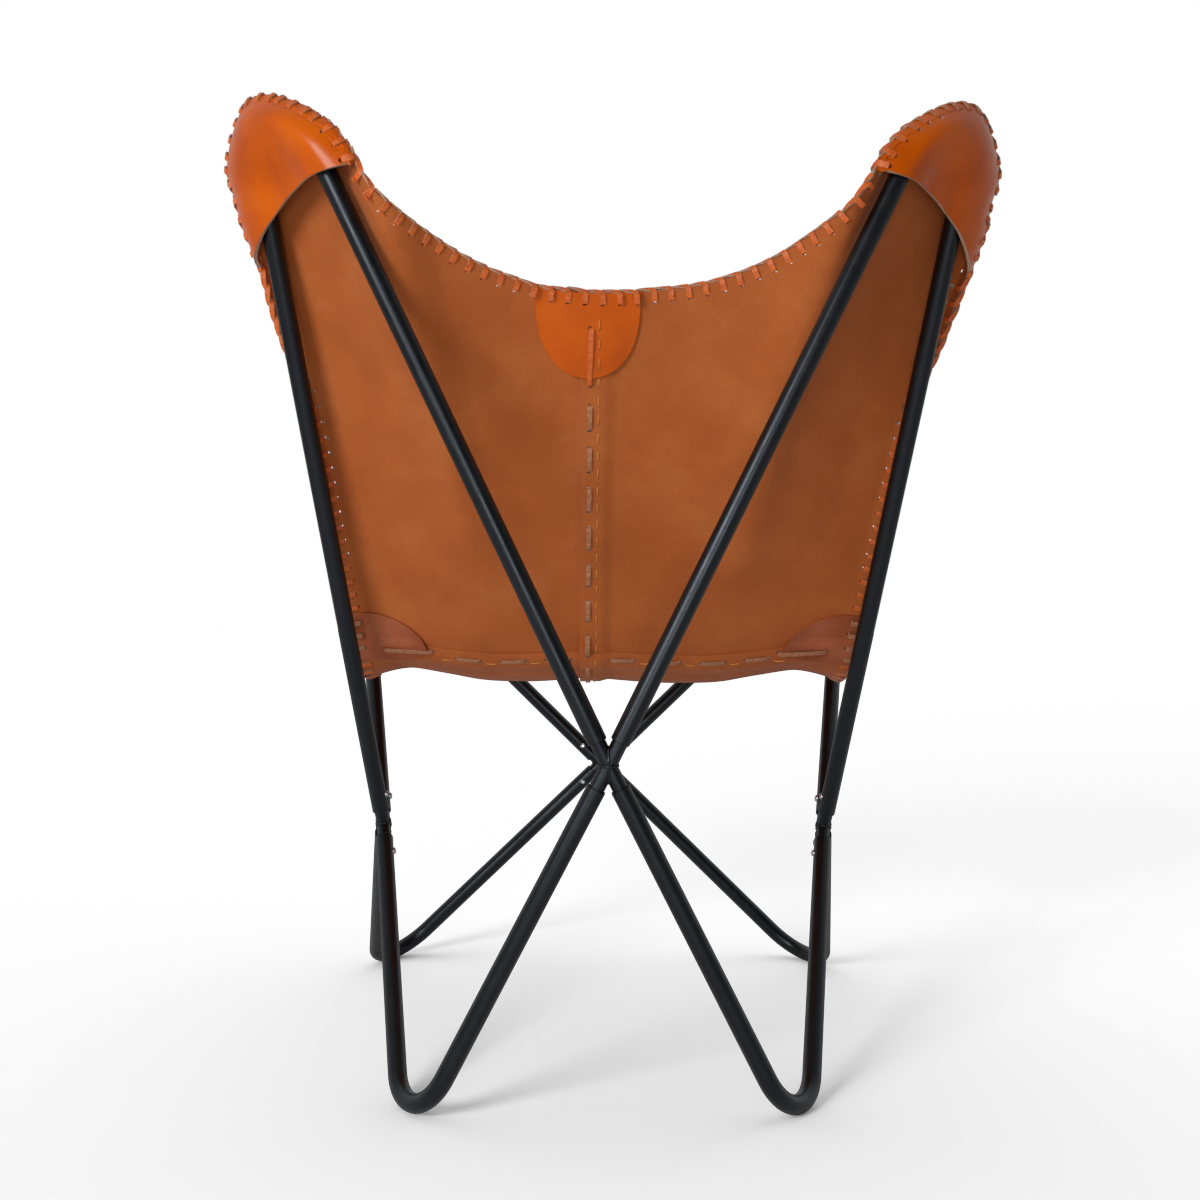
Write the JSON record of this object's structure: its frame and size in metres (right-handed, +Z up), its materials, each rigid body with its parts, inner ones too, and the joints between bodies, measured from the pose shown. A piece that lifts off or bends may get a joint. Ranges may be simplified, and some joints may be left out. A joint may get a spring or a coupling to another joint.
{
  "type": "butterfly sling chair",
  "caption": "Low lounge chair: bent black tube legs meet at welded crosses, and a laced tan leather sling hangs by pockets from the tube tips.",
  "frame": {"origin": "on the floor under the middle of the chair's box", "axes": "+Z up, -Y the way the sitter faces, +X the sitter's left"},
  "size_m": [0.731, 0.7348, 0.9381],
  "materials": {
    "frame": "satin black powder coat",
    "connector": "satin black powder coat over welds",
    "screw": "bright zinc-plated steel",
    "back_leather": "flesh side out, matt",
    "seat_leather": "grain side up, polished",
    "pocket_leather": "polished grain",
    "patch_leather": "polished grain",
    "lace": "cut thong, pale raw edges"
  },
  "bodies": {
    "root": {"rear_left_upright": "frame", "rear_left_upright_inner_screw": "screw", "rear_left_upright_outer_screw": "screw", "rear_left_foot": "frame", "rear_left_foot_inner_screw": "screw", "rear_left_foot_outer_screw": "screw", "front_left_upright": "frame", "front_left_upright_inner_screw": "screw", "front_left_upright_outer_screw": "screw", "front_left_foot": "frame", "front_left_foot_inner_screw": "screw", "front_left_foot_outer_screw": "screw", "rear_right_upright": "frame", "rear_right_upright_inner_screw": "screw", "rear_right_upright_outer_screw": "screw", "rear_right_foot": "frame", "rear_right_foot_inner_screw": "screw", "rear_right_foot_outer_screw": "screw", "front_right_upright": "frame", "front_right_upright_inner_screw": "screw", "front_right_upright_outer_screw": "screw", "front_right_foot": "frame", "front_right_foot_inner_screw": "screw", "front_right_foot_outer_screw": "screw", "rear_cross": "connector", "front_cross": "connector", "left_cross": "connector", "right_cross": "connector", "back_left_panel": "back_leather", "seat_left_panel": "seat_leather", "rear_left_pocket": "pocket_leather", "front_left_pocket": "pocket_leather", "left_seam_patch": "patch_leather", "left_cross_seam_lace": "lace", "back_right_panel": "back_leather", "seat_right_panel": "seat_leather", "rear_right_pocket": "pocket_leather", "front_right_pocket": "pocket_leather", "right_seam_patch": "patch_leather", "right_cross_seam_lace": "lace", "top_centre_patch": "pocket_leather", "centre_seam_lace": "lace", "edge_lace": "lace"}
  },
  "joints": []
}
